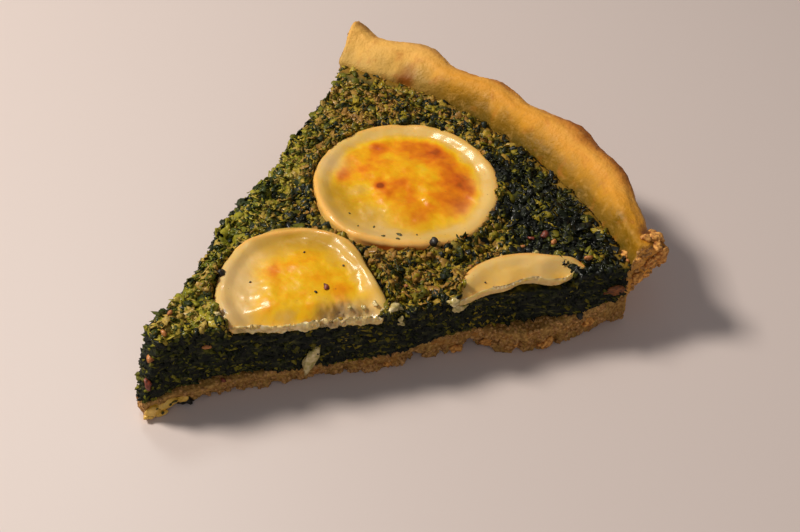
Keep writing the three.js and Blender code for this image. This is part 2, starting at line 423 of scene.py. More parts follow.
# Painted light on the crown near the left cut.
crown = blend_colour(tree, reading(tree, "painted_light_left_end"), crown, (255, 208, 116))
shade = blend_colour(tree, reading(tree, "crumb"), crown, inside)
dark_spots = spread(tree, pattern(tree, 3.4, detail=4), 0.56, 0.74, 0.0, 0.5)
shade = blend_colour(tree, dark_spots, shade, (190, 112, 36))
pale_spots = spread(tree, pattern(tree, 1.6, detail=4), 0.54, 0.76, 0.0, 0.28)
shade = blend_colour(tree, pale_spots, shade, (246, 190, 104))
shade = blend_colour(tree, reading(tree, "scorch"), shade, (140, 78, 8))
tree.links.new(shade, shader.inputs["Base Color"])
tree.links.new(spread(tree, cloud, 0.3, 0.7, 0.45, 0.75), shader.inputs["Roughness"])
rough_up(tree, shader, pattern(tree, 0.7, detail=5), 0.3 * MM, 0.8)
crust.data.materials.append(pastry_finish)
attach(crust, "root")
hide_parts("pastry_crust")


# ---- Spinach filling ----
# Chopped spinach set in egg custard and baked in the shell: lumpy on top, in level layers where
# the knife went through, and smoother and olive beside the large cheese and along the pastry wall.
filling_grain = 0.55 * MM
round_low, round_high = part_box("cheese_round")
half_low, half_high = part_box("cheese_half")
sliver_low, sliver_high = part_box("cheese_sliver")
round_middle = (round_low + round_high) / 2
round_radius = 24.4 * MM
half_middle = Vector((half_low.x + 19.9 * MM, half_high.y - 21.0 * MM, 0))
half_radius = 20.6 * MM
sliver_middle = Vector((sliver_low.x + 10.5 * MM, sliver_high.y - 16.6 * MM, 0))
sliver_radius = 16.8 * MM


def cheese_clearance(places):
    """How far each place lies outside the nearest cheese, in plan."""
    gaps = [
        np.hypot(places[:, 0] - middle.x, places[:, 1] - middle.y) - reach
        for middle, reach in (
            (round_middle, round_radius),
            (half_middle, half_radius),
            (sliver_middle, sliver_radius),
        )
    ]
    return np.min(gaps, axis=0)


filling = fine_copy("spinach_filling", "spinach_custard", filling_grain)
place = points_of(filling)
normal = normals_of(filling)
radius, angle = round_axis(place)
tip_face = rise(-radius, -9, -6) * step(-np.abs(normal[:, 2]), -0.75, -0.6)
cut = np.maximum(cut_share(normal, angle), tip_face)
top = step(normal[:, 2], 0.45, 0.75) * rise(place[:, 2], 15.5, 17)
clearance = cheese_clearance(place)
open_top = top * rise(clearance, -0.4, 0.1)

# Mounds and bits on top, layers at the cuts, and a climb up the pastry wall.
mounds = lumps(place, 5.5, seed=11) * 1.2 * MM
bits = lumps(place, 1.8, seed=12, octaves=3) * 0.75 * MM
layers = lumps(place, 3, seed=13, octaves=3, squash=3.4) * 0.8 * MM
climb = 0.7 * MM
slumped = step(angle, math.radians(13), math.radians(24))
wall_start = (115.4 - 2.8 * slumped) * MM + lumps(place, 5, seed=14, octaves=3) * 1.5 * MM
by_wall = rise(radius - wall_start, -0.8, 1.4)
hugging = rise(-clearance, -4.0, -0.2) * 1.6 * MM
push = open_top * ((mounds + bits) * (1 - 0.6 * by_wall) + hugging) + cut * layers
place = place + normal * push[:, None]
place[:, 2] += top * slumped * by_wall * climb

# The knife dragged the spinach outwards over the wall's cut, at the front.
drag = 5.0 * MM
drag_proud = 0.8 * MM
beyond, facing = outside_cuts(place)
smeared = rise(beyond, -1.8, -0.2) * rise(radius, 97, 108)
smeared *= step(-angle, 0.2, 0.3) * rise(-place[:, 2], -19, -13)
place[:, 0] += np.cos(angle) * smeared * drag
place[:, 1] += np.sin(angle) * smeared * drag
place[:, :2] += facing * (smeared * drag_proud)[:, None]
set_points(filling, place)

# Where leaves lie, and where the bare custard shows between them.
store(filling, "cut", cut)
store(filling, "cut_face", cut * (1 - top))
from_round = place[:, :2] - np.array(round_middle)[:2]
halo = np.hypot(from_round[:, 0], from_round[:, 1]) - round_radius
halo_side = from_round[:, 0] * -0.85 + from_round[:, 1] * -0.5
soaked = rise(-halo, -3.5, -0.5) * rise(halo_side, 4, 18) * top
store(filling, "custard", 0.8 * soaked)
in_gap = top * rise(clearance, -1.8, -1.2)
store(filling, "open_top", in_gap * (1 - 0.88 * by_wall) * (1 - 0.75 * soaked))
up_wall = step(radius - wall_start, 0, 3 * MM)
store(filling, "soaked_wall", by_wall * top * (0.55 + 0.45 * up_wall))

# How fresh and how light the leaves are: green at the tip and the left cut, tan at the back, partly
# as a painted sheen, and nearly black at the right end. Painted shade: one hollow painted nearly
# black, the hollows between mounds darker than their tops, and the cut faces darker.
left_side = step(angle, math.radians(12), math.radians(24)) * rise(-radius, -95, -60)
left_edge = step(angle, math.radians(19), math.radians(25))
# One hollow, painted nearly black as painted shade.
hollow = Vector((-38.2, -6.6, 0)) * MM
hollow_reach = 3.4 * MM
from_hollow = np.hypot(place[:, 0] - hollow.x, place[:, 1] - hollow.y)
hollow_shade = np.exp(-((from_hollow / hollow_reach) ** 2))
fresh = 0.9 * rise(-radius, -42, -6) + 0.85 * left_side + 0.4 * left_edge
fresh -= 0.9 * hollow_shade
fresh = np.clip(fresh + 0.5 * lumps(place, 5, seed=15), 0, 1)
store(filling, "fresh", fresh * (1 - 0.45 * cut))
back = rise(radius, 88, 104) * step(angle, math.radians(3), math.radians(14))
right_end = rise(radius, 88, 104) * step(-angle, math.radians(-4), math.radians(7))
between = rise(radius, 55, 70) * rise(-radius, -95, -85)
between *= step(-angle, math.radians(2), math.radians(8))
left_back = rise(radius, 55, 75) * step(angle, math.radians(8), math.radians(16))
tip = rise(-radius, -40, -20)
tone_shade_sheen = 0.08 + 0.07 * back + 0.2 * left_back - 0.44 * right_end + 0.1 * between + 0.16 * tip
# Painted shade: the mounds' height lightens their tops and darkens the hollows between them.
tone_shade_sheen += 0.4 * lumps(place, 4.4, seed=16) + 0.12 * mounds / MM - 0.3 * hollow_shade
# Painted shade: the cut faces are darker.
store(filling, "tone_shade_sheen", tone_shade_sheen * (1 - cut) - 0.27 * cut)

custard_finish, shader, tree = new_finish("spinach_in_custard", (40, 52, 22), roughness=0.65)
shader.inputs["Specular IOR Level"].default_value = 0.25
blots = pattern(tree, 2.2, detail=5)
grains = pattern(tree, 0.7, detail=4)
bed = ramp(
    tree,
    blots,
    [
        (0.36, (14, 17, 5)),
        (0.48, (34, 38, 8)),
        (0.58, (80, 76, 14)),
        (0.7, (134, 114, 28)),
    ],
)
layered = ramp(
    tree,
    pattern(tree, 3.0, detail=6, stretch=(1, 1, 3.6)),
    [
        (0.36, (8, 12, 9)),
        (0.5, (22, 27, 16)),
        (0.6, (48, 50, 26)),
        (0.72, (96, 92, 46)),
    ],
)
shade = blend_colour(tree, reading(tree, "cut"), bed, layered)
olive = ramp(tree, grains, [(0.3, (112, 100, 22)), (0.7, (180, 156, 62))])
shade = blend_colour(tree, reading(tree, "custard"), shade, olive)
golden = ramp(
    tree,
    reading(tree, "soaked_wall"),
    [(0.0, (60, 58, 10)), (0.6, (96, 82, 12)), (1.0, (140, 104, 16))],
)
shade = blend_colour(tree, spread(tree, reading(tree, "soaked_wall"), 0.02, 0.3), shade, golden)
tree.links.new(shade, shader.inputs["Base Color"])
rough_up(tree, shader, grains, 0.3 * MM, 0.8)
filling.data.materials.append(custard_finish)
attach(filling, "root")
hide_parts("spinach_filling")


# ---- Chopped spinach leaves ----
# Wilted leaves chopped to grains of half a millimetre up to curled scraps of 4 mm, heaped every way
# on top and pressed flat in layers at the cuts. They are sprinkled on the filling and half sunk.
def leaf_chip(name, rng, length, width, thickness):
    """A closed chip of leaf about one unit across: a crinkled ring of corners and two middles."""
    sides = 6
    verts = [(0, 0, thickness), (0, 0, -thickness)]
    for k in range(sides):
        turn = 2 * math.pi * (k + rng.uniform(-0.25, 0.25)) / sides
        reach = rng.uniform(0.36, 0.56)
        x = length * reach * math.cos(turn)
        y = width * reach * math.sin(turn)
        verts.append((x, y, rng.uniform(-0.13, 0.13)))
    faces = []
    for k in range(sides):
        a = 2 + k
        b = 2 + (k + 1) % sides
        faces += [(0, a, b), (1, b, a)]
    mesh = bpy.data.meshes.new(name)
    mesh.from_pydata(verts, [], faces)
    mesh.shade_smooth()
    return bpy.data.objects.new(name, mesh)


def leaf_scrap(name, rng):
    """A closed, curled and crinkled scrap of leaf about one unit long."""
    long_steps, wide_steps = 5, 3
    curl = rng.uniform(-0.9, 0.9)
    verts = []
    for i in range(long_steps):
        for j in range(wide_steps):
            u = i / (long_steps - 1) - 0.5
            v = j / (wide_steps - 1) - 0.5
            width = rng.uniform(0.45, 0.75) * (1 - 1.7 * u * u)
            z = curl * u * u + 0.5 * abs(v) * rng.uniform(-0.2, 0.6) + rng.uniform(-0.1, 0.1)
            verts.append((u + rng.uniform(-0.06, 0.06), v * width, z))
    count = long_steps * wide_steps
    verts += [(x, y, z - 0.06) for x, y, z in verts]
    faces = []
    for i in range(long_steps - 1):
        for j in range(wide_steps - 1):
            a = i * wide_steps + j
            b = a + wide_steps
            faces.append((a, b, b + 1, a + 1))
            faces.append((count + a, count + a + 1, count + b + 1, count + b))
    ring = list(range(wide_steps))
    ring += [i * wide_steps + wide_steps - 1 for i in range(1, long_steps)]
    ring += [(long_steps - 1) * wide_steps + j for j in range(wide_steps - 2, -1, -1)]
    ring += [i * wide_steps for i in range(long_steps - 2, 0, -1)]
    for a, b in zip(ring, ring[1:] + ring[:1]):
        faces.append((a, b, count + b, count + a))
    mesh = bpy.data.meshes.new(name)
    mesh.from_pydata(verts, [], faces)
    shape = bmesh.new()
    shape.from_mesh(mesh)
    bmesh.ops.recalc_face_normals(shape, faces=shape.faces)
    shape.to_mesh(mesh)
    shape.free()
    mesh.shade_smooth()
    return bpy.data.objects.new(name, mesh)


def gather(name, things):
    """A collection of shapes to sprinkle, kept out of the scene."""
    box = bpy.data.collections.new(name)
    for thing in things:
        box.objects.link(thing)
    return box


def sprinkle_tree():
    """Geometry nodes that sprinkle shapes over a surface where a stored number allows."""
    tree = bpy.data.node_groups.new("sprinkle", "GeometryNodeTree")
    wanted = {
        "Ground": "Geometry",
        "Shapes": "Collection",
        "Finish": "Material",
        "Where": "String",
        "Density": "Float",
        "Smallest": "Float",
        "Largest": "Float",
        "Tilt": "Float",
        "Level": "Float",
        "Sink": "Float",
        "Seed": "Int",
    }
    for name, kind in wanted.items():
        tree.interface.new_socket(name, in_out="INPUT", socket_type="NodeSocket" + kind)
    tree.interface.new_socket("Bits", in_out="OUTPUT", socket_type="NodeSocketGeometry")
    given = tree.nodes.new("NodeGroupInput").outputs

    def node(kind, inputs=None, **settings):
        return add_node(tree, kind, inputs, **settings)

    def random(kind, salt, inputs=None):
        """A random value for each bit, its own stream for each salt."""
        mixed = node("ShaderNodeMath", {0: given["Seed"], 1: salt}, operation="ADD").outputs[0]
        return node("FunctionNodeRandomValue", {**(inputs or {}), "Seed": mixed}, data_type=kind)

    # Points on the ground, thick where the stored number is high, and sunk or raised a little.
    mask = node("GeometryNodeInputNamedAttribute", {"Name": given["Where"]}, data_type="FLOAT")
    allowed = {0: mask.outputs["Attribute"], 1: given["Density"]}
    amount = node("ShaderNodeMath", allowed, operation="MULTIPLY").outputs[0]
    strewn = {"Mesh": given["Ground"], "Density": amount, "Seed": given["Seed"]}
    strew = node("GeometryNodeDistributePointsOnFaces", strewn, distribute_method="RANDOM")
    up = strew.outputs["Normal"]
    sunk = node("ShaderNodeVectorMath", {0: up, "Scale": given["Sink"]}, operation="SCALE")
    moved = {"Geometry": strew.outputs["Points"], "Offset": sunk.outputs[0]}
    settle = node("GeometryNodeSetPosition", moved)

    # Each bit lies along the ground or level, turned at random and tilted up to a limit.
    lay = node("ShaderNodeMix", {0: given["Level"], 4: up, 5: (0, 0, 1)}, data_type="VECTOR")
    face_out = node("FunctionNodeAlignRotationToVector", {"Vector": lay.outputs[1]}, axis="Z")
    limits = {"X": given["Tilt"], "Y": given["Tilt"], "Z": math.pi}
    high = node("ShaderNodeCombineXYZ", limits).outputs[0]
    low = node("ShaderNodeVectorMath", {0: high, "Scale": -1}, operation="SCALE").outputs[0]
    lean = random("FLOAT_VECTOR", 1, {"Min": low, "Max": high})
    turn = node("FunctionNodeEulerToRotation", {0: lean.outputs["Value"]})
    turned = {0: face_out.outputs[0], 1: turn.outputs[0]}
    tumble = node("FunctionNodeRotateRotation", turned, rotation_space="LOCAL")

    # Small bits are commoner than large ones.
    chance = random("FLOAT", 2).outputs[1]
    favour_small = node("ShaderNodeMath", {0: chance, 1: 1.7}, operation="POWER").outputs[0]
    sizes = {"Value": favour_small, "To Min": given["Smallest"], "To Max": given["Largest"]}
    size = node("ShaderNodeMapRange", sizes)

    # One of the shapes at each point, with a tone of its own, made into plain mesh.
    whole = {"Collection": given["Shapes"], "Separate Children": True, "Reset Children": True}
    shelf = node("GeometryNodeCollectionInfo", whole)
    pick = random("INT", 3, {4: 0, 5: 99})
    placed = {
        "Points": settle.outputs[0],
        "Instance": shelf.outputs[0],
        "Pick Instance": True,
        "Instance Index": pick.outputs[2],
        "Rotation": tumble.outputs[0],
        "Scale": size.outputs[0],
    }
    put = node("GeometryNodeInstanceOnPoints", placed).outputs[0]
    toned = {"Geometry": put, "Name": "tone", "Value": random("FLOAT", 4).outputs[1]}
    label = node("GeometryNodeStoreNamedAttribute", toned, data_type="FLOAT", domain="INSTANCE")
    real = node("GeometryNodeRealizeInstances", {0: label.outputs[0]}).outputs[0]
    painted = node("GeometryNodeSetMaterial", {"Geometry": real, "Material": given["Finish"]})
    node("NodeGroupOutput", {0: painted.outputs[0]})
    return tree


sprinkling = sprinkle_tree()


def sprinkle(name, ground, **values):
    """Sprinkles shapes over a ground piece and returns them as one plain mesh piece."""
    holder = bpy.data.objects.new(name, ground.data.copy())
    bpy.context.scene.collection.objects.link(holder)
    scatter = holder.modifiers.new("sprinkle", "NODES")
    scatter.node_group = sprinkling
    names = {s.name: s.identifier for s in sprinkling.interface.items_tree if s.in_out == "INPUT"}
    for key, value in values.items():
        scatter[names[key.capitalize()]] = value
    graph = bpy.context.evaluated_depsgraph_get()
    bits = bpy.data.meshes.new_from_object(holder.evaluated_get(graph))
    spare = holder.data
    holder.modifiers.clear()
    holder.data = bits
    bits.name = name
    bpy.data.meshes.remove(spare)
    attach(holder, "root")
    return holder


leaf_rng = np.random.default_rng(7)
leaf_chips = gather(
    "leaf_chips",
    [leaf_chip(f"chip_{i}", leaf_rng, length=1.7, width=0.85, thickness=0.06) for i in range(9)],
)
leaf_shreds = gather(
    "leaf_shreds",
    [leaf_chip(f"shred_{i}", leaf_rng, length=1.8, width=0.8, thickness=0.09) for i in range(7)],
)
leaf_scraps = gather("leaf_scraps", [leaf_scrap(f"scrap_{i}", leaf_rng) for i in range(8)])

leaf_finish, shader, tree = new_finish("wilted_leaf", (40, 56, 20), roughness=0.55, coat=0.18)
shader.inputs["Specular IOR Level"].default_value = 0.2
shader.inputs["Coat Roughness"].default_value = 0.16
drift = spread(tree, pattern(tree, 14, detail=3), 0.3, 0.7, -0.16, 0.16)
# The leaves take the filling's tone, with its painted shade and painted sheen.
toned = reckon(tree, "ADD", reading(tree, "tone"), drift)
toned = reckon(tree, "ADD", toned, reading(tree, "tone_shade_sheen"))
leaf_tone = ramp(
    tree,
    toned,
    [
        (0.0, (16, 20, 12)),
        (0.3, (28, 36, 14)),
        (0.46, (58, 62, 8)),
        (0.6, (120, 112, 14)),
        (0.78, (180, 154, 30)),
        (0.93, (206, 162, 62)),
        (1.0, (176, 128, 52)),
    ],
)
green_tone_shade_sheen = reckon(tree, "MULTIPLY", reading(tree, "tone_shade_sheen"), 0.7)
green_tone = ramp(
    tree,
    reckon(tree, "ADD", reading(tree, "tone"), green_tone_shade_sheen),
    [
        (0.0, (14, 24, 4)),
        (0.28, (60, 76, 10)),
        (0.5, (136, 140, 22)),
        (0.8, (190, 180, 48)),
        (1.0, (214, 184, 88)),
    ],
)
greenness = spread(tree, reading(tree, "fresh"), 0, 1, 0, 0.85)
leaf_tone = blend_colour(tree, greenness, leaf_tone, green_tone)
veins = pattern(tree, 0.9, detail=3)
mottle = ramp(tree, veins, [(0.3, (187.5, 187.5, 187.5)), (0.7, (255, 255, 255))])
shade = blend_colour(tree, 1.0, leaf_tone, mottle, "MULTIPLY")
tree.links.new(shade, shader.inputs["Base Color"])
rough_up(tree, shader, pattern(tree, 0.5, detail=3), 0.12 * MM, 0.6)

top_leaves = sprinkle(
    "chopped_leaves_on_top",
    filling,
    shapes=leaf_chips,
    finish=leaf_finish,
    where="open_top",
    density=2.4e6,
    smallest=0.6 * MM,
    largest=2.2 * MM,
    tilt=0.38,
    level=0.0,
    sink=0.12 * MM,
    seed=21,
)
curled_leaves = sprinkle(
    "curled_leaves_on_top",
    filling,
    shapes=leaf_scraps,
    finish=leaf_finish,
    where="open_top",
    density=3.4e5,
    smallest=1.4 * MM,
    largest=4.4 * MM,
    tilt=0.45,
    level=0.0,
    sink=0.1 * MM,
    seed=24,
)
cut_leaves = sprinkle(
    "chopped_leaves_at_cuts",
    filling,
    shapes=leaf_shreds,
    finish=leaf_finish,
    where="cut_face",
    density=2.3e6,
    smallest=0.6 * MM,
    largest=2.0 * MM,
    tilt=0.2,
    level=0.85,
    sink=-0.35 * MM,
    seed=22,
)


# ---- Goat's cheese ----
# Slices of a soft-ripened log, laid on the filling and baked until they slump: a pale raised rind,
# a smooth oily surface, and toasted patches towards the middle. Two were cut with the slice.
cheese_grain = 0.45 * MM
spot_right = Vector((0.689, -0.725, 0))
spot_away = Vector((0.725, 0.689, 0))


def dots_of(places, middle, reach, spots):
    """The sum of soft round spots on a slice: each (right, away, spread, amount) in radii."""
    x = places[:, 0] - middle.x
    y = places[:, 1] - middle.y
    across = (x * spot_right.x + y * spot_right.y) / reach
    away = (x * spot_away.x + y * spot_away.y) / reach
    total = np.zeros(len(places))
    for right, back, width, amount in spots:
        gap = np.hypot(across - right, away - back) / width
        total += amount * np.exp(-gap * gap)
    return total


def baked_cheese(
    node,
    name,
    middle,
    reach,
    glow,
    toast_spots,
    cream_spots,
    oily_spots,
    torn_spots,
    pulls,
    slope,
    ragged,
    back_edge,
):
    """One slice of cheese, slumped and toasted, with what its finish reads stored on it. glow is
    how toasted it is all over, pulls are (right, away, spread, and three moves in mm), slope how
    far it sags to the cut in mm, ragged how rough its cut is, and back_edge how brown its far rim
    is."""
    piece = fine_copy(node, name, cheese_grain)
    place = points_of(piece)
    normal = normals_of(piece)
    from_middle = place - np.array(middle)
    share = np.hypot(from_middle[:, 0], from_middle[:, 1]) / reach
    rightward = from_middle @ np.array(spot_right) / reach
    top = step(normal[:, 2], 0.3, 0.8)
    share = share + 0.035 * lumps(place, 12, seed=31)
    cut = step(-share, -0.93, -0.86) * step(-np.abs(normal[:, 2]), -0.55, -0.25)
    beyond, _ = outside_cuts(place)
    torn = dots_of(place, middle, reach, torn_spots) * (1 + 0.5 * lumps(place, 2.4, seed=36))
    torn = np.clip(torn, 0, 1)
    tears = len(torn_spots) > 0
    frayed = rise(beyond, -2.2, -0.4) * np.clip(lumps(place, 3, seed=37, octaves=3) + 0.3, 0, 1)
    broken = np.clip(torn + frayed, 0, 1) * tears
    ring = np.exp(-(((share - 0.965) / 0.036) ** 2))
    inner = step(-share, -0.92, -0.68)
    toast = glow * inner + dots_of(place, middle, reach, toast_spots)
    toast = toast + 0.15 * lumps(place, 5, seed=32, octaves=3) * inner
    toast = np.clip(toast, 0, 1.1) * inner
    milky = dots_of(place, middle, reach, cream_spots)

    # A raised rind, a shallow dish inside it, blisters, and a rough broken edge.
    blisters = lumps(place, 3.4, seed=33, octaves=3) * 0.21 * MM * inner
    blisters *= 1 - 0.75 * np.clip(milky, 0, 1)
    dish = np.exp(-(((share - 0.9) / 0.12) ** 2)) * (0.3 + 0.7 * step(rightward, -0.2, 0.4))
    push = top * (0.3 * MM * ring + 0.55 * MM * dish + blisters)
    push += ragged * cut * 0.45 * MM * lumps(place, 1.5, seed=34, octaves=3)
    push += broken * (2.0 * np.abs(lumps(place, 2.0, seed=39, octaves=3)) - 0.5) * MM
    push += ragged * cut * lumps(place, 3.6, seed=38) * 0.9 * MM
    push += lumps(place, 7, seed=35) * (0.3 + 0.3 * (1 - top)) * MM
    place = place + normal * push[:, None]
    place[:, 2] -= top * (broken * 1.5 + slope * step(beyond, -6 * MM, 0)) * MM
    start = place.copy()
    for right, back, width, move_right, move_away, move_up in pulls:
        pulled = dots_of(start, middle, reach, [(right, back, width, MM)])
        move = spot_right * move_right + spot_away * move_away + Vector((0, 0, move_up))
        place += pulled[:, None] * np.array(move)
    set_points(piece, place)

    side = (place[:, 0] - middle.x) * spot_right.x + (place[:, 1] - middle.y) * spot_right.y
    near = -((place[:, 0] - middle.x) * spot_away.x + (place[:, 1] - middle.y) * spot_away.y)
    at_front = step(side + near, 0.35 * reach, 0.8 * reach)
    at_back = step(-near - 0.6 * side, 0.2 * reach, 0.5 * reach)
    browned = step(share, 0.955, 1.0) * at_front * (1 - top)
    back_line = back_edge * np.exp(-(((share - 1.0) / 0.045) ** 2)) * at_back
    by_cut = ragged * 0.5 * rise(beyond, -2.6, -0.6) * tears
    oily = dots_of(place, middle, reach, oily_spots)
    store(piece, "toast", toast)
    store(piece, "ring", ring * (1 - cut))
    store(piece, "cut", np.maximum.reduce([ragged * cut, broken * top, by_cut]))
    store(piece, "oily", np.clip(oily, 0, 1))
    # Painted shade in the torn notches.
    store(piece, "shadow", torn)
    store(piece, "browned", np.maximum(browned * (1 - cut), back_line))
    store(piece, "milky", milky)
    piece.data.materials.append(cheese_finish)
    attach(piece, "root")
    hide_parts(node)
    return piece


cheese_finish, shader, tree = new_finish("baked_cheese", (240, 205, 140), roughness=0.4, coat=0.4)
shader.inputs["Specular IOR Level"].default_value = 0.2
shader.inputs["Coat Roughness"].default_value = 0.13
shader.inputs["Subsurface Weight"].default_value = 0.3
shader.inputs["Subsurface Radius"].default_value = (1.0, 0.6, 0.3)
shader.inputs["Subsurface Scale"].default_value = 2.0 * MM
wavy = pattern(tree, 3.0, detail=4)
value = reckon(tree, "ADD", reading(tree, "toast"), spread(tree, wavy, 0.3, 0.7, -0.1, 0.1))
toasted = ramp(
    tree,
    value,
    [
        (0.0, (236, 196, 112)),
        (0.16, (240, 190, 72)),
        (0.34, (252, 196, 22)),
        (0.5, (252, 176, 0)),
        (0.68, (240, 138, 0)),
        (0.86, (214, 102, 0)),
        (1.0, (160, 70, 2)),
    ],
)
milk = spread(tree, reading(tree, "milky"), 0, 1, 0, 0.9)
shade = blend_colour(tree, milk, toasted, (226, 190, 130))
oil = spread(tree, reading(tree, "oily"), 0, 1, 0, 0.95)
shade = blend_colour(tree, oil, shade, (196, 148, 14))
rind = spread(tree, reading(tree, "ring"), 0.1, 0.9, 0, 0.85)
shade = blend_colour(tree, rind, shade, (248, 188, 96))
torn_face = ramp(
    tree,
    pattern(tree, 1.5, detail=3),
    [
        (0.32, (202, 172, 112)),
        (0.5, (236, 208, 146)),
        (0.68, (248, 230, 180)),
    ],
)
shade = blend_colour(tree, reading(tree, "cut"), shade, torn_face)
# Painted shade in the torn notches, where the broken top dips below the rest.
notch_shade_clouds = spread(tree, wavy, 0.4, 0.6, 0, 0.8)
notch_shade = reckon(tree, "MULTIPLY", reading(tree, "shadow"), notch_shade_clouds)
shade = blend_colour(tree, notch_shade, shade, (150, 116, 78))
shade = blend_colour(tree, reading(tree, "browned"), shade, (206, 108, 36))
specks = spread(tree, pattern(tree, 0.9, detail=2), 0.72, 0.77, 0.0, 0.5)
shade = blend_colour(tree, specks, shade, (150, 96, 36))
tree.links.new(shade, shader.inputs["Base Color"])
tree.links.new(spread(tree, reading(tree, "cut"), 0, 1, 0.3, 0.75), shader.inputs["Roughness"])
rough_up(tree, shader, pattern(tree, 1.3, detail=4), 0.12 * MM, 0.45)

whole_round = baked_cheese(
    "cheese_round",
    "baked_cheese_round",
    round_middle,
    round_radius,
    glow=0.6,
    toast_spots=[
        (-0.31, 0.57, 0.1, 0.32),
        (0.02, 0.68, 0.3, 0.08),
        (0.25, 0.52, 0.2, 0.16),
        (0.45, 0.32, 0.18, 0.18),
        (0.6, 0.04, 0.2, 0.2),
        (0.5, -0.22, 0.16, 0.16),
        (0.17, -0.45, 0.16, 0.12),
        (0.0, -0.05, 0.14, 0.16),
        (-0.66, 0.05, 0.1, 0.3),
        (-0.25, -0.1, 0.055, 0.6),
        (-0.15, -0.2, 0.06, 0.3),
        (-0.43, -0.12, 0.17, -0.26),
        (0.17, 0.2, 0.2, -0.22),
        (-0.07, 0.3, 0.12, -0.1),
        (0.3, -0.2, 0.16, -0.1),
        (-0.5, 0.5, 0.12, -0.22),
        (-0.2, 0.42, 0.08, -0.2),
        (-0.34, -0.5, 0.14, -0.25),
        (0.6, 0.42, 0.1, -0.26),
        (-0.66, -0.3, 0.22, -0.3),
        (-0.2, -0.74, 0.3, -0.4),
        (0.4, -0.66, 0.2, -0.3),
    ],
    cream_spots=[
        (-0.82, 0.24, 0.17, 0.95),
        (-0.2, -0.84, 0.25, 0.5),
        (0.75, -0.4, 0.2, 0.4),
        (0.85, 0.1, 0.15, 0.4),
    ],
    oily_spots=[
        (-0.72, -0.18, 0.16, 0.8),
        (-0.62, -0.42, 0.2, 0.8),
        (-0.4, -0.6, 0.2, 0.5),
        (0.2, -0.66, 0.2, 0.4),
    ],
    torn_spots=[],
    pulls=[
        (0.72, -0.72, 0.3, 0.7, -0.7, 0),
        (0.0, -1.0, 0.4, 0, 0.6, 0),
        (-0.9, -0.35, 0.3, 0.5, 0.4, 0),
    ],
    slope=0,
    ragged=1,
    back_edge=0,
)
half_round = baked_cheese(
    "cheese_half",
    "baked_cheese_half",
    half_middle,
    half_radius,
    glow=0.06,
    toast_spots=[
        (0.06, 0.0, 0.62, 0.4),
        (-0.3, 0.36, 0.15, 0.24),
        (-0.36, 0.2, 0.13, 0.18),
        (0.0, 0.5, 0.2, 0.14),
        (0.3, 0.3, 0.2, 0.2),
        (0.53, 0.05, 0.16, 0.28),
        (-0.34, -0.34, 0.16, 0.2),
        (0.16, 0.04, 0.14, -0.2),
        (-0.1, 0.06, 0.12, -0.12),
        (-0.1, -0.4, 0.14, -0.1),
        (-0.75, 0.0, 0.28, -0.3),
    ],
    cream_spots=[(-0.78, 0.1, 0.28, 0.95), (-0.7, -0.45, 0.26, 0.95), (-0.55, 0.5, 0.2, 0.5)],
    oily_spots=[
        (-0.2, 0.82, 0.24, 0.9),
        (0.2, 0.84, 0.24, 0.8),
        (-0.5, 0.66, 0.16, 0.5),
        (0.6, 0.62, 0.2, 0.5),
        (0.9, 0.1, 0.1, 0.4),
    ],
    torn_spots=[(0.53, -0.26, 0.15, 1.0), (0.36, -0.36, 0.12, 0.9), (0.72, -0.16, 0.12, 0.8)],
    pulls=[(0.95, -0.08, 0.24, 2.4, -0.6, -0.5), (0.74, 0.6, 0.3, -0.9, -0.6, 0)],
    slope=1.8,
    ragged=1,
    back_edge=0,
)
sliver = baked_cheese(
    "cheese_sliver",
    "baked_cheese_sliver",
    sliver_middle,
    sliver_radius,
    glow=0.1,
    toast_spots=[(-0.5, 0.6, 0.3, 0.16), (0.3, 0.5, 0.3, -0.1)],
    cream_spots=[(-0.4, 0.4, 0.4, 0.6), (0.2, 0.7, 0.4, 0.5)],
    oily_spots=[(0.45, 0.62, 0.14, 0.4)],
    torn_spots=[],
    pulls=[
        (0.1, 0.36, 0.3, 0, 1.2, 0),
        (0.76, 0.76, 0.32, 1.6, 4.0, 1.0),
        (0.6, 0.45, 0.2, 0.2, -1.0, -0.4),
        (-0.8, 0.12, 0.28, -1.6, -2.8, -0.5),
        (0.0, 0.6, 0.9, 0, 0, 1.0),
        (-0.3, 0.46, 0.2, 0, -0.9, -0.3),
    ],
    slope=1.9,
    ragged=0.3,
    back_edge=0.6,
)


# ---- Ground pepper ----
# Black peppercorn, cracked coarse and ground fine, scattered on the cheese before it went into the
# oven. Each grain is dropped from above, or pushed at the front cut, until it meets the slice.
def ground_tree(pieces):
    """What a ray can land on: the finished pieces' surfaces together."""
    corners = []
    faces = []
    for piece in pieces:
        start = len(corners)
        corners += points_of(piece).tolist()
        faces += [tuple(start + i for i in face.vertices) for face in piece.data.polygons]
    return BVHTree.FromPolygons(corners, faces)


ground = ground_tree([filling, crust, whole_round, half_round, sliver])
down = Vector((0, 0, -1))
front_out = Vector((-math.sin(half_wedge), -math.cos(half_wedge), 0))
front_along = Vector((math.cos(half_wedge), -math.sin(half_wedge), 0))
drop_height = 60
start_gap = 30 * MM


def over(x, y):
    """A place high above the slice, at millimetres in the frame, and the way down from it."""
    return Vector((x, y, drop_height)) * MM, down


def beside(along, height):
    """A place out in front of the front cut, so far from the tip and so high, and the way in."""
    place = pie_axis + front_along * along * MM + front_out * start_gap
    place.z = height * MM
    return place, -front_out


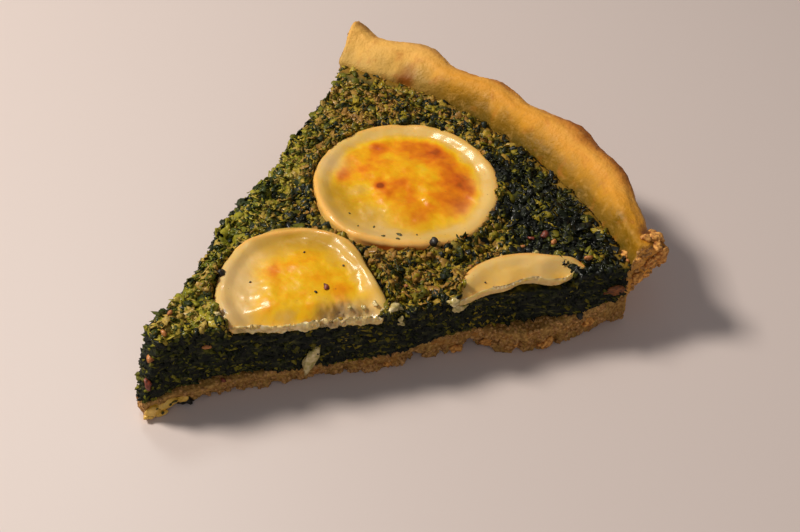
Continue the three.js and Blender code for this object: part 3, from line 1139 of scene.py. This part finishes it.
def set_lumps(name, finish, wanted, crumbliness=0.2, fineness=2, seed=50):
    """Rough lumps as one piece: each (place and way, (length, width, height) in mm, turn in
    degrees, how proud in mm)."""
    shape = bmesh.new()
    bmesh.ops.create_icosphere(shape, subdivisions=fineness, radius=0.5)
    ball = [vert.co.copy() for vert in shape.verts]
    ball_faces = [tuple(vert.index for vert in face.verts) for face in shape.faces]
    shape.free()
    corners = []
    faces = []
    for number, ((start, way), size, turn, proud) in enumerate(wanted):
        hit, facing_out, _, _ = ground.ray_cast(start, way)
        if hit is None:
            continue
        upright = (facing_out - way).normalized()
        spin = Matrix.Rotation(math.radians(turn), 3, "Z")
        stand = upright.to_track_quat("Z", "X").to_matrix() @ spin
        base = len(corners)
        for point in ball:
            salt = point * 1.7 + Vector((seed + number * 5.3, 0, 0))
            grown = point * (1 + crumbliness * noise.fractal(salt, 1.0, 2.1, 3) * 2)
            local = Vector((grown.x * size[0], grown.y * size[1], grown.z * size[2])) * MM
            corners.append(hit + upright * proud * MM + stand @ local)
        faces += [tuple(base + i for i in face) for face in ball_faces]
    mesh = bpy.data.meshes.new(name)
    mesh.from_pydata(corners, [], faces)
    mesh.shade_smooth()
    piece = bpy.data.objects.new(name, mesh)
    bpy.context.scene.collection.objects.link(piece)
    mesh.materials.append(finish)
    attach(piece, "root")
    return piece


def plain_finish(name, dark, light, roughness, coat=0.0, grain=0.8):
    """A finish mottled between two colours."""
    finish, shader, tree = new_finish(name, light, roughness, coat)
    mix = ramp(tree, pattern(tree, grain, detail=3), [(0.35, dark), (0.65, light)])
    tree.links.new(mix, shader.inputs["Base Color"])
    rough_up(tree, shader, pattern(tree, 0.5, detail=3), 0.15 * MM, 0.7)
    return finish


pepper_finish = plain_finish("ground_pepper", (8, 7, 6), (44, 34, 26), roughness=0.5, coat=0.2)
set_lumps(
    "ground_pepper",
    pepper_finish,
    [
        (over(7.9, -19.5), (2.2, 1.9, 1.9), 0, 0.5),
        (over(-38.2, 4.1), (2.3, 2.0, 1.8), 30, 0.4),
        (over(-24.5, -13.9), (0.8, 0.6, 0.4), 10, 0.1),
        (over(-13.7, -11.2), (0.6, 0.5, 0.4), 0, 0.1),
        (over(-18.1, -2.0), (0.6, 0.4, 0.4), 60, 0.1),
        (over(-34.3, -1.9), (0.6, 0.4, 0.4), 20, 0.1),
        (over(5.8, -38.9), (0.5, 0.4, 0.4), 0, 0.1),
        (over(8.6, -36.6), (0.5, 0.4, 0.4), 0, 0.1),
    ],
    crumbliness=0.35,
)


# ---- Chopped herb ----
# Dried green herb, chopped fine: a few flecks on the cheese, and more stuck in the soft custard
# that ran out under the tip.
herb_finish = plain_finish("chopped_herb", (50, 50, 10), (96, 90, 24), roughness=0.6)
set_lumps(
    "chopped_herb",
    herb_finish,
    [
        (over(3.9, -11.8), (1.6, 1.0, 0.5), 20, 0.05),
        (over(2.3, -13.0), (1.0, 0.6, 0.4), 80, 0.05),
        (over(0.2, -9.9), (1.1, 0.7, 0.4), 130, 0.05),
        (over(1.1, -5.6), (0.8, 0.6, 0.4), 0, 0.05),
        (over(-0.4, 1.7), (0.7, 0.4, 0.3), 40, 0.05),
        (over(-1.8, -3.0), (0.5, 0.4, 0.3), 0, 0.05),
        (over(7.0, -14.8), (0.5, 0.4, 0.3), 0, 0.05),
        (beside(2.2, 3.4), (0.8, 1.2, 0.5), 20, 0.9),
        (beside(5.2, 2.6), (0.9, 1.1, 0.5), 60, 1.0),
        (beside(6.8, 3.2), (0.6, 1.3, 0.5), 10, 0.8),
        (beside(3.6, 1.4), (0.7, 0.9, 0.4), 80, 0.9),
    ],
    crumbliness=0.35,
    seed=60,
)


# ---- Red pepper flakes ----
# Dried red pepper, crushed to flat flakes: one lies on the cut cheese, the others are baked into
# the spinach.
red_finish = plain_finish("red_pepper_flake", (80, 28, 12), (140, 58, 30), roughness=0.5, coat=0.2)
set_lumps(
    "red_pepper_flakes",
    red_finish,
    [
        (over(-21.6, -14.1), (1.9, 1.2, 0.5), 120, 0.1),
        (over(31.7, -34.7), (3.0, 2.0, 1.2), 20, 0.6),
        (over(29.4, -33.0), (1.6, 1.1, 0.8), 70, 0.6),
        (over(-49.1, -10.0), (1.6, 1.1, 1.0), 50, 0.5),
        (beside(1.5, 11.5), (2.6, 1.6, 1.4), 10, 0.5),
    ],
    crumbliness=0.45,
    seed=70,
)


# ---- Browned bits ----
# Bits of onion and stalk that stood proud of the spinach and browned in the oven. They lie among
# the leaves on top and show at the cuts.
browned_finish = plain_finish(
    "browned_bit", (140, 76, 28), (206, 132, 62), roughness=0.55, coat=0.2
)
set_lumps(
    "browned_bits",
    browned_finish,
    [
        (over(31.5, -38.0), (2.0, 1.4, 1.0), 0, 0.6),
        (over(25.4, -33.5), (1.4, 1.0, 0.8), 45, 0.6),
        (over(33.4, -47.5), (2.4, 1.3, 1.3), 100, 0.6),
        (beside(119.0, 20.0), (1.6, 1.3, 1.3), 0, 0.5),
        (over(40.4, -55.3), (1.4, 1.4, 1.2), 0, 0.4),
        (over(-54.6, 1.2), (1.8, 1.3, 1.1), 10, 0.7),
        (over(-63.2, -3.2), (2.6, 1.7, 1.4), 30, 0.4),
        (beside(15.4, 16.8), (1.3, 2.4, 1.0), 10, 0.2),
        (over(-59.0, -2.7), (1.8, 1.3, 1.0), 10, 0.6),
        (over(10.0, -30.5), (1.3, 0.9, 0.8), 10, 0.5),
        (over(17.5, -33.0), (1.2, 0.9, 0.8), 80, 0.5),
        (over(-5.0, -24.0), (1.3, 1.0, 0.8), 10, 0.5),
    ],
    seed=80,
)


# ---- Cheese crumbs ----
# Soft goat's cheese that the knife tore off and dragged: at the half's broken cut, in the gap
# beside it, under the sliver's left end, and one long curd that stuck to the spinach's cut face.
crumb_finish, shader, tree = new_finish("crumbled_cheese", (224, 208, 160), roughness=0.5, coat=0.4)
crumb_mix = ramp(
    tree,
    pattern(tree, 1.4, detail=3),
    [(0.34, (160, 148, 66)), (0.5, (208, 186, 122)), (0.66, (232, 212, 160))],
)
tree.links.new(crumb_mix, shader.inputs["Base Color"])
rough_up(tree, shader, pattern(tree, 0.7, detail=3), 0.2 * MM, 0.7)
set_lumps(
    "cheese_crumbs",
    crumb_finish,
    [
        (over(-13.0, -28.0), (3.8, 1.9, 1.5), 70, 0.2),
        (over(-11.4, -28.6), (1.9, 1.3, 1.1), 10, 0.3),
        (over(-12.6, -30.6), (1.5, 1.2, 1.0), 70, 0.4),
        (over(-1.2, -36.0), (2.8, 1.8, 1.5), 100, 0.4),
        (over(0.6, -37.0), (2.0, 1.3, 1.2), 20, 0.5),
        (beside(73.6, 18.6), (2.4, 1.8, 1.2), 10, 0.4),
        (beside(75.4, 17.0), (1.6, 2.6, 1.1), 30, 0.4),
        (over(-17.9, -23.1), (1.3, 1.0, 0.9), 20, 0.2),
        (over(-15.6, -24.6), (1.6, 1.1, 1.0), 70, 0.2),
        (over(-15.2, -26.8), (1.2, 0.9, 0.8), 110, 0.2),
        (over(-20.6, -21.4), (1.0, 0.8, 0.7), 40, 0.1),
        (over(-18.6, -25.6), (1.1, 1.0, 0.8), 0, 0.2),
        (beside(38.8, 8.6), (7.0, 2.7, 1.6), -16, 0.9),
        (beside(60.0, 18.3), (1.5, 1.1, 1.0), 0, 0.4),
        (over(24.7, -37.9), (1.5, 1.2, 1.0), 10, 0.5),
        (over(-45.3, -3.7), (1.7, 1.2, 1.0), 40, 0.5),
        (over(-47.2, -6.4), (1.4, 1.0, 1.0), 90, 0.5),
    ],
    crumbliness=0.42,
    fineness=3,
    seed=90,
)


# ---- Custard lumps ----
# Egg custard that ran under the tip and set there, yellow and smooth, in flat lumps that run into
# each other on the base's cut edge.
lump_finish = plain_finish(
    "custard_lump", (208, 160, 34), (246, 200, 84), roughness=0.35, coat=0.6, grain=2.2
)
set_lumps(
    "custard_lumps",
    lump_finish,
    [
        (beside(4.2, 2.2), (2.8, 6.6, 1.6), 4, 0.1),
        (beside(1.4, 2.4), (3.2, 3.8, 1.8), -10, 0.1),
        (beside(0.6, 1.2), (2.0, 2.6, 2.0), 10, 0.2),
        (beside(8.4, 2.8), (1.7, 3.4, 1.2), 10, 0.1),
        (beside(3.2, 0.9), (1.6, 3.0, 1.6), 0, 0.2),
        (beside(6.4, 1.2), (1.4, 2.2, 1.3), 0, 0.2),
    ],
    crumbliness=0.27,
    fineness=3,
    seed=100,
)


# ---- Torn pastry scraps ----
# Shortcrust that tore instead of cutting: knobs at the broken end of the rim, and crumbs the size
# of a lentil that hang from the bottom edge of the front cut.
# The torn pastry's light colour is partly painted light: brightened so the knobs at the rim's broken
# end look lit, though they face away from the key light.
lit_scrap_finish = plain_finish("torn_pastry", (160, 92, 30), (246, 180, 90), roughness=0.75)
set_lumps(
    "torn_pastry_scraps",
    lit_scrap_finish,
    [
        (beside(127.5, 22.0), (3.6, 3.4, 2.2), 10, 0.2),
        (beside(124.6, 19.0), (3.0, 3.8, 2.0), 40, 0.2),
        (beside(128.6, 18.4), (2.8, 2.4, 2.0), 0, 0.2),
        (beside(122.0, 15.6), (2.6, 3.0, 1.6), 70, 0.1),
        (beside(125.2, 14.6), (3.2, 2.4, 1.8), 20, 0.1),
        (beside(121.0, 21.5), (2.0, 2.2, 1.4), 20, 0.1),
        (beside(110.0, 4.0), (2.4, 3.4, 2.0), 20, 0.2),
        (beside(97.5, 2.0), (3.0, 4.2, 2.4), 0, 0.3),
        (beside(90.5, 1.8), (2.6, 3.2, 2.2), 30, 0.3),
        (beside(84.0, 2.0), (2.6, 3.4, 2.0), 0, 0.2),
        (beside(76.0, 1.6), (2.2, 2.8, 1.8), 0, 0.2),
        (beside(58.0, 1.5), (1.8, 2.2, 1.5), 0, 0.2),
        (over(49.0, -55.2), (4.2, 3.0, 2.2), 20, 0.2),
        (over(51.4, -54.6), (3.4, 2.8, 2.0), 70, 0.1),
        (over(47.6, -57.0), (3.0, 2.4, 1.8), 110, 0.1),
        (over(52.4, -52.0), (2.6, 2.2, 1.5), 40, 0.1),
        (over(46.0, -54.2), (2.6, 2.0, 1.4), 0, 0.1),
        (over(42.6, -51.6), (2.6, 1.5, 1.4), 100, 0.3),
    ],
    crumbliness=0.35,
    fineness=3,
    seed=120,
)


# ---- Browned patch ----
# A flat piece of browned crust, caught between the filling and the wall, that the knife laid bare.
# It is set flush in the front cut.
patch_finish = plain_finish("browned_patch", (92, 46, 10), (150, 84, 26), roughness=0.6)
set_lumps(
    "browned_patch",
    patch_finish,
    [
        (beside(114.8, 13.6), (6.0, 5.6, 1.4), 20, 0.0),
    ],
    crumbliness=0.35,
    seed=130,
)


# ---- Burnt spinach ----
# Two scraps of leaf that came off the filling and dried almost black: one beside the custard under
# the tip, one on the base's cut edge.
burnt_finish = plain_finish("burnt_spinach", (10, 12, 10), (34, 34, 22), roughness=0.6)
set_lumps(
    "burnt_spinach",
    burnt_finish,
    [
        (beside(9.8, 1.2), (2.0, 3.6, 2.2), 0, 0.3),
        (beside(106.7, 8.2), (2.0, 1.8, 1.0), 0, 0.1),
    ],
    crumbliness=0.4,
    seed=110,
)


# ---- Pastry crumbs ----
# Fine shortcrust crumbs that the knife loosened. They cling to the ragged bottom edge of both cuts
# and to the rim's broken end, and are sprinkled there over the baked pastry.
def crumb_shape(name, rng):
    """A closed, knobbly crumb of a few faces, about one unit across."""
    shape = bmesh.new()
    bmesh.ops.create_icosphere(shape, subdivisions=1, radius=0.5)
    for vert in shape.verts:
        vert.co *= rng.uniform(0.7, 1.25)
    mesh = bpy.data.meshes.new(name)
    shape.to_mesh(mesh)
    shape.free()
    mesh.shade_smooth()
    return bpy.data.objects.new(name, mesh)


crumb_rng = np.random.default_rng(9)
crumb_shapes = gather("crumb_shapes", [crumb_shape(f"crumb_{i}", crumb_rng) for i in range(6)])
pastry_crumb_finish = plain_finish("pastry_crumb", (150, 102, 52), (212, 162, 98), roughness=0.8)
pastry_crumbs = sprinkle(
    "pastry_crumbs",
    crust,
    shapes=crumb_shapes,
    finish=pastry_crumb_finish,
    where="crumbly",
    density=1.5e6,
    smallest=0.3 * MM,
    largest=1.3 * MM,
    tilt=1.5,
    level=0.0,
    sink=0.0,
    seed=25,
)
